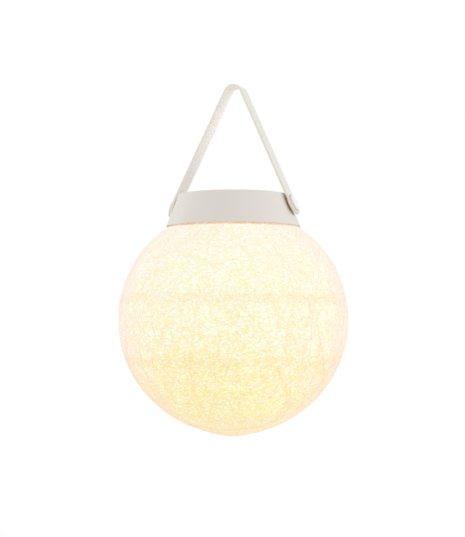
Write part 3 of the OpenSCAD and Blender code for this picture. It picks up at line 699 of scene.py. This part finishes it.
# %% Recipes and windings
def level_turn(rng):
    return dict(tilt=math.radians(rng.uniform(4, 30)), around=rng.uniform(0, 2 * math.pi),
                off=math.radians(rng.uniform(-32, 50)), depth=rng.uniform(0.3, 0.8) * mm,
                wander=0.018, thick=rng.uniform(0.8, 1.15))


def slanting_turn(rng):
    return dict(tilt=math.radians(rng.uniform(30, 70)), around=rng.uniform(0, 2 * math.pi),
                off=math.radians(rng.normal() * 9), depth=rng.uniform(0.3, 0.8) * mm,
                wander=0.016, thick=rng.uniform(0.8, 1.15))


def steep_turn(rng):
    return dict(tilt=math.radians(rng.uniform(66, 90)), around=rng.uniform(0, 2 * math.pi),
                off=math.radians(rng.normal() * 6), depth=rng.uniform(0.27, 0.6) * mm,
                wander=0.014, thick=rng.uniform(0.85, 1.25))


def stray_turn(rng):
    return dict(tilt=math.radians(rng.uniform(55, 85)), around=rng.uniform(0, 2 * math.pi),
                off=math.radians(rng.normal() * 27), depth=0.2 * mm,
                wander=0.03, thick=rng.uniform(1.2, 1.5))


stray_tone = 2.0
windings = [
    winding("level_winding", seed=11, turns=105, recipe=level_turn),
    winding("slanting_winding", seed=12, turns=115, recipe=slanting_turn),
    winding("steep_winding", seed=13, turns=70, recipe=steep_turn),
    winding("stray_winding", seed=14, turns=16, recipe=stray_turn, tone_from=stray_tone),
]
print("All threads:", sum(triangles(piece) for piece in windings), "triangles")

# %% [markdown]
# ## Finish of the threads
#
# A thread shines as the skin does, in slightly deeper shades. Some turns are darker than others,
# and darker still low on the ball, and a thread is darker where others cross it. The ball's rim
# is a soft pink. A pink lamp could tint it, but it would tint the cap as well. So a painted pink
# sheen goes into the glow of a thread's flanks: near the middle of the ball they hardly show,
# but at its rim they are most of what is seen, from every side.

# %% Masks on the threads
sheet = Sheet("cotton_thread")
spot = sheet.place()
z = sheet.axes(spot)[2]
tone = sheet.add("Attribute", {"attribute_name": "tone"}, output="Fac")
outward = sheet.add("Attribute", {"attribute_name": "outward"}, output="Fac")
fluff = sheet.noise(spot, 0.5 * mm)
wear = sheet.noise(spot, 14 * mm)
crossing = sheet.fade(sheet.noise(spot, 1.7 * mm), 0.5, 0.68)
dark_turn = sheet.fade(tone, 0.55, 0.8) * sheet.fade(z, pale_z, deep_z, 0.5, 1.0)
stray_turns = sheet.fade(tone, stray_tone - 0.5, stray_tone - 0.4)
low_down = sheet.fade(z, ball_z - 20 * mm, ball_z - 45 * mm)
stray = stray_turns * low_down * sheet.fade(wear, 0.38, 0.55)
flank = sheet.fade(outward, 0.6, 0.2)
print("Masks on the threads:", len(sheet.tree.nodes), "nodes")

# %% Finish of the threads
thread_shades = ((0.77, 0.79, 0.25), (0.775, 0.8, 0.49), (0.78, 0.83, 0.65), (0.78, 0.86, 0.72))
thread_leak = (0.785, 0.9, 0.76)
dark_share, crossing_share = 0.55, 0.3
stray_colour, stray_share = (0.75, 0.54, 0.1), 0.6
flank_sheen_colour, flank_sheen_share = (0.78, 0.54, 0.68), 0.85

shine = glow(sheet, spot, thread_shades, thread_leak)
shine = sheet.blend(dark_turn * dark_share, shine, thin_line, "MULTIPLY")
shine = sheet.blend(crossing * crossing_share, shine, thin_line, "MULTIPLY")
shine = flecked(sheet, spot, shine, share=0.75)
shine = sheet.blend(stray * stray_share, shine, stray_colour)
# Painted sheen: a pink tint in the flanks' glow makes the ball's rim pink.
shine = sheet.blend(flank * flank_sheen_share, shine, flank_sheen_colour)
shine = sheet.blend(row_of_holes(sheet, spot), shine, (0.83, 0.84, 0.82))
base = sheet.blend(wear, (0.19, 0.175, 0.165), (0.2, 0.19, 0.18))
thread_finish = sheet.finish(
    Base_Color=sheet.blend(fluff * 0.4, base, (0.22, 0.2, 0.19)),
    Emission_Color=shine, Emission_Strength=1.0, Roughness=0.85,
    Sheen_Weight=0.5, Sheen_Roughness=0.5, Sheen_Tint=rim_sheen,
    Normal=sheet.bump(fluff, 0.05 * mm))
for piece in windings:
    piece.data.materials.append(thread_finish)
    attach(piece, "shade")
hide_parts("shade_winding")
print("Threads finished:", len(sheet.tree.nodes), "nodes")

# %% [markdown]
# ## The strap's flat band
#
# The strap is one flat band, cut with round ends and folded over into a loop. A bent tube of
# square section could stand for it, but a band that is cut flat and then bent keeps its grain
# and its painted edges in step with the material. So a grid is shaped flat, given a thickness,
# soft edges and two rivet holes, and its flat place is kept as an attribute. The length comes
# from the CAD strap's route: a round bend, two straight legs and two tails past the snaps.

# %% Cut the flat band
strap_w = 22 * mm
strap_t = 2.2 * mm
strap_tail = 13 * mm
bend_inner_r = 8.5 * mm
bend_r = bend_inner_r + strap_t / 2
snap_x, snap_z = 68.03 * mm, cap_edge_z + 23.5 * mm
snap_far = math.hypot(snap_x, snap_z)
leg_lean = math.acos(bend_r / snap_far) - math.atan2(-snap_z, snap_x)
leg_l = math.sqrt(snap_far ** 2 - bend_r ** 2)
bend_l = bend_r * (math.pi - 2 * leg_lean)
strap_l = 2 * (strap_tail + leg_l) + bend_l

strap = added(bpy.ops.mesh.primitive_grid_add, "strap_band", x_subdivisions=240,
              y_subdivisions=16, size=1)
flat = points_of(strap) * (strap_l, strap_w, 1)
end_r = strap_w / 2
straight_l = strap_l / 2 - end_r
past = np.clip((np.abs(flat[:, 0]) - straight_l) / end_r, 0, 1) * math.pi / 2
in_end = past > 0
flat[in_end, 0] = (np.sign(flat[:, 0]) * (straight_l + end_r * np.sin(past)))[in_end]
flat[:, 1] *= np.cos(past)
set_points(strap, flat)
only(strap)
bpy.ops.object.mode_set(mode="EDIT")
bpy.ops.mesh.select_all(action="SELECT")
bpy.ops.mesh.remove_doubles(threshold=0.01 * mm)
bpy.ops.object.mode_set(mode="OBJECT")
print("Flat band", round(strap_l / mm, 1), "mm long")

# %% [markdown]
# ## The band's thickness and holes
#
# A real strap's edges are sanded round and painted, and a snap is riveted through a hole at each
# end. The edges could be extruded and rounded by hand, but Solidify and Bevel keep them even
# round the whole outline, and a plain cylinder drills each hole.

# %% Thicken and drill the band
hole_in_strap_r = 3.7 * mm
edge_round = 0.55 * mm
modified(strap, "SOLIDIFY", thickness=strap_t, offset=0)
modified(strap, "BEVEL", width=edge_round, segments=3, limit_method="ANGLE",
         angle_limit=math.radians(50))
for side in (-1, 1):
    drill = added(bpy.ops.mesh.primitive_cylinder_add, "drill", vertices=40,
                  radius=hole_in_strap_r, depth=4 * strap_t,
                  location=(side * (strap_l / 2 - strap_tail), 0, 0))
    modified(strap, "BOOLEAN", operation="DIFFERENCE", object=drill, solver="EXACT")
    bpy.data.objects.remove(drill)
print("Band with its holes:", triangles(strap), "triangles")

# %% [markdown]
# ## Laying the band round its route
#
# A Curve modifier could bend the band, but it wouldn't let the loop be uneven, and the real one
# is: its top leans a little to one side, and its ends look a little thicker towards the cap. So
# each point goes round the route by its length from the band's middle, and out from it by its
# height in the band. The ends stay thin enough to pass the cap's wall when the strap swings.

# %% Lay the band round its route
strap_lean = 3.6 * mm
lean_from = snap_z + 16 * mm
doubled_l = 9 * mm
doubled_t = 1.0 * mm
flat = points_of(strap)
keep_attribute(strap, "flat", flat, "FLOAT_VECTOR")


def strap_route(s):
    """Place and direction of the band's middle at a length s from its top."""
    turn = np.clip(s, -bend_l / 2, bend_l / 2) / bend_r
    run = np.sign(s) * np.maximum(0, np.abs(s) - bend_l / 2)
    along = np.stack([np.cos(turn), -np.sin(turn)], axis=1)
    return bend_r * np.stack([np.sin(turn), np.cos(turn)], axis=1) + along * run[:, None], along


middle, along = strap_route(flat[:, 0])
out = np.stack([-along[:, 1], along[:, 0]], axis=1)
laid = middle + out * flat[:, 2:]
to_end = np.abs(flat[:, 0]) - (strap_l / 2 - strap_tail - doubled_l)
doubled = np.clip(to_end / doubled_l, 0, 1) ** 1.5 * (flat[:, 2] < 0)
laid -= out * (doubled * doubled_t)[:, None]
height = np.clip((laid[:, 1] - lean_from) / (bend_r - snap_z), 0, 1)
laid[:, 0] += strap_lean * height
set_points(strap, np.stack([laid[:, 0], flat[:, 1], laid[:, 1]], axis=1))
smooth(strap, 35)
print("Strap reaches", round(float(laid[:, 1].max()), 4), "at its top")

# %% [markdown]
# ## Finish of the strap
#
# The strap is soft cream leather with a very fine grain. Its marks could be painted on it, but a
# mask from the flat place that each point kept stays sharp and in step with the band's ends: the
# inside face is a paler lining, made paler still by painted light against the shade that falls
# on it, the edges are warm, each snap has a painted brown ring of contact shade round it, and on
# the right, in the narrow gap beside the cap, the inside carries a painted orange-brown shade.

# %% Finish of the strap
ring_r = 9 * mm
edge_share, ring_share = 0.7, 0.8

sheet = Sheet("strap_leather")
own = sheet.add("Attribute", {"attribute_name": "flat"}, output="Vector")
x, y, z = sheet.axes(own)
grain = sheet.cells(own, 0.7 * mm, "DISTANCE_TO_EDGE")
pores = sheet.noise(own, 0.3 * mm, detail=3)
cloud = sheet.noise(own, 18 * mm)
edge = sheet.fade(abs(y), strap_w / 2 - 0.4 * mm, strap_w / 2)
inside = sheet.fade(z, -0.3 * mm, -0.7 * mm)
from_snap = abs(abs(x) - (strap_l / 2 - strap_tail))
off_ring = abs((from_snap * from_snap + y * y) ** 0.5 - ring_r)
# Painted shade: a brown ring of contact shade round each snap.
snap_shade_ring = sheet.fade(off_ring, 1.4 * mm, 0.5 * mm)
right_half = sheet.fade(x, 0.0, 1 * mm)
# Painted shade: the inside face turns orange brown in the narrow gap beside the cap, on the
# right.
gap_shade = inside * sheet.fade(from_snap, 11 * mm, 9 * mm) * right_half

face = sheet.blend(cloud, (0.7, 0.693, 0.655), (0.72, 0.712, 0.674))
# Painted light: the inside face is a paler lining, lifted further to offset the shade that falls
# on it.
face = sheet.blend(inside, face, (0.96, 0.93, 0.885))
face = sheet.blend(edge * edge_share, face, (0.84, 0.775, 0.66))
face = sheet.blend(snap_shade_ring * ring_share, face, (0.42, 0.33, 0.26))
face = sheet.blend(gap_shade, face, (0.8, 0.5, 0.27))
strap.data.materials.append(sheet.finish(
    Base_Color=face, Roughness=sheet.spread(pores, 0.5, 0.62),
    Normal=sheet.bump(sheet.fade(grain, 0.0, 0.25) + 0.4 * pores, 0.0005 * mm)))
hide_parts("handle_strap")
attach(strap, "strap")
print("Strap:", triangles(strap), "triangles")

# %% [markdown]
# ## Recipes for the CAD parts
#
# The cap, snaps, solar panel and everything inside keep their CAD shapes. Most are moulded
# plastic, rubber, sheet metal or bare boards. Each could have a sheet of its own, but two
# recipes with a few values cover them and keep parts of one kind alike: a plastic with a fine
# moulded grain and faint clouding, and a metal with fine brushing.

# %% Recipes for moulded plastic and metal
def moulded(name, colour, other, rough, **more):
    """Plastic from a mould: faint clouds of a second tone, and a fine even grain."""
    sheet = Sheet(name)
    spot = sheet.place()
    cloud = sheet.noise(spot, 30 * mm)
    fine = sheet.noise(spot, 0.3 * mm)
    return sheet.finish(
        Base_Color=sheet.blend(cloud, colour, other),
        Roughness=sheet.spread(fine, rough - 0.06, rough + 0.06),
        Normal=sheet.bump(fine, 0.02 * mm), **more)


def metal(name, colour, rough=0.3):
    """Rolled or turned metal with fine brushing along it."""
    sheet = Sheet(name)
    spot = sheet.place()
    lines = sheet.noise(sheet.stretched(spot, (1, 1, 6)), 0.6 * mm, detail=3)
    darker = tuple(0.8 * c for c in colour)
    return sheet.finish(
        Base_Color=sheet.blend(lines, colour, darker), Metallic=1.0,
        Roughness=sheet.spread(lines, rough, rough + 0.15),
        Normal=sheet.bump(lines, 0.01 * mm))


print("Recipes ready")

# %% [markdown]
# ## A finish for each slot
#
# The record gives each CAD part a slot for its finish, such as the cap's off-white plastic or
# the snaps' nickel. The finishes could be made part by part, but a table by slot shows them side
# by side: the name, two tones that cloud into each other or one metal colour, and how rough it
# is. The frosted diffuser and the light chips also shine a little.

# %% Finishes by slot
finishes = {
    "cap": moulded("cap_plastic", (0.705, 0.675, 0.622), (0.72, 0.69, 0.637), 0.46),
    "button": moulded("button_plastic", (0.7, 0.69, 0.66), (0.72, 0.71, 0.68), 0.4),
    "snap_button": moulded("snap_plastic", (0.8, 0.79, 0.75), (0.82, 0.81, 0.77), 0.38),
    "inner_plastic": moulded("inner_plastic", (0.84, 0.84, 0.82), (0.87, 0.87, 0.85), 0.4),
    "frosted": moulded("frosted_plastic", (0.86, 0.86, 0.84), (0.9, 0.9, 0.88), 0.6,
                       Emission_Color=(1.0, 0.86, 0.55), Emission_Strength=0.6),
    "holder": moulded("holder_plastic", (0.03, 0.03, 0.032), (0.045, 0.045, 0.047), 0.5),
    "switch_plastic": moulded("switch_plastic", (0.03, 0.03, 0.03), (0.05, 0.05, 0.05), 0.5),
    "component": moulded("component_plastic", (0.02, 0.02, 0.022), (0.04, 0.04, 0.042), 0.4),
    "seal": moulded("seal_rubber", (0.04, 0.04, 0.042), (0.06, 0.06, 0.062), 0.75),
    "battery": moulded("battery_wrap", (0.05, 0.2, 0.13), (0.06, 0.24, 0.16), 0.35),
    "lead_red": moulded("red_lead", (0.5, 0.03, 0.02), (0.6, 0.05, 0.04), 0.45),
    "lead_white": moulded("white_lead", (0.75, 0.75, 0.72), (0.8, 0.8, 0.77), 0.45),
    "light_board": moulded("white_board", (0.85, 0.85, 0.83), (0.9, 0.9, 0.88), 0.35),
    "chip": moulded("light_chip", (0.9, 0.75, 0.3), (0.92, 0.8, 0.4), 0.3,
                    Emission_Color=(1.0, 0.8, 0.4), Emission_Strength=1.5),
    "panel_board": moulded("panel_board", (0.02, 0.022, 0.025), (0.03, 0.032, 0.035), 0.45),
    "steel": metal("bright_steel", (0.62, 0.62, 0.62)),
    "snap_metal": metal("nickel", (0.7, 0.68, 0.64), 0.22),
    "switch_metal": metal("tinned_steel", (0.66, 0.66, 0.66), 0.25),
}
print("Finishes by recipe:", len(finishes))

# %% [markdown]
# ## Solar cells, circuit board and clear cover
#
# Three parts need more than a recipe. A solar cell is dark blue crystal with thin silver
# fingers, and two wide bars beside them. The circuit board has its copper tracks under green
# lacquer. The clear cover over the cells is mostly see-through, with a faint haze. The fingers
# and tracks could be modelled, but they are thinner than paper, so masks draw them.

# %% Finish of the solar cells
finger_pitch = 1.6 * mm
bar_out = 13 * mm

sheet = Sheet("solar_cell")
spot = sheet.place()
y = sheet.axes(spot)[1]
off_finger = sheet.off_line(y, finger_pitch)
fingers = sheet.fade(off_finger, 0.08 * finger_pitch, 0.02 * finger_pitch)
bars = sheet.fade(abs(abs(y) - bar_out), 0.7 * mm, 0.4 * mm)
silver = (fingers * 0.5).maths("MAXIMUM", bars)
grains = sheet.cells(spot, 3 * mm, output="Color")
crystal = sheet.blend(1.0, grains, (0.02, 0.03, 0.09), "MULTIPLY")
cell_blue = sheet.blend(0.35, (0.008, 0.014, 0.045), crystal)
finishes["solar_cell"] = sheet.finish(
    Base_Color=sheet.blend(silver, cell_blue, (0.5, 0.52, 0.55)),
    Metallic=silver * 0.7, Roughness=0.3, Coat_Weight=0.4)
print("Solar cells:", len(sheet.tree.nodes), "nodes")

# %% Finishes of the circuit board and the clear cover
sheet = Sheet("circuit_board")
spot = sheet.place()
tracks = sheet.cells(sheet.stretched(spot, (1, 0.35, 1)), 2.4 * mm, "DISTANCE_TO_EDGE")
finishes["circuit"] = sheet.finish(
    Base_Color=sheet.blend(sheet.fade(tracks, 0.09, 0.05), (0.012, 0.11, 0.05),
                           (0.03, 0.2, 0.1)),
    Roughness=0.35, Normal=sheet.bump(tracks, 0.03 * mm))

sheet = Sheet("clear_cover")
spot = sheet.place()
haze = sheet.noise(spot, 12 * mm, detail=3)
finishes["clear_cover"] = sheet.finish(
    Base_Color=sheet.blend(haze, (0.5, 0.52, 0.55), (0.55, 0.57, 0.6)),
    Roughness=sheet.spread(haze, 0.05, 0.12), Alpha=0.12, IOR=1.49)
print("All finishes:", len(finishes))

# %% [markdown]
# ## Dressing the CAD nodes
#
# Each part in the record names the slot that its finish comes from. A finish could be given to
# each node by hand, but a loop over the record misses none. Only the material slots of a CAD
# node change: its shape and place stay as the CAD made them. The nodes that the skin, the
# threads and the strap stand for are hidden, so they are left out.

# %% Give every CAD node its finish
replaced = {"shade_crown", "shade_bowl", "shade_winding", "handle_strap"}
for part in frame["record"]["subparts"]:
    if part["node"] in replaced:
        continue
    mesh = nodes[part["node"]].data
    if not mesh.materials:
        mesh.materials.append(None)
    for k in range(len(mesh.materials)):
        mesh.materials[k] = finishes[part["material_slot"]]
print("Dressed", len(nodes) - len(replaced), "CAD nodes")
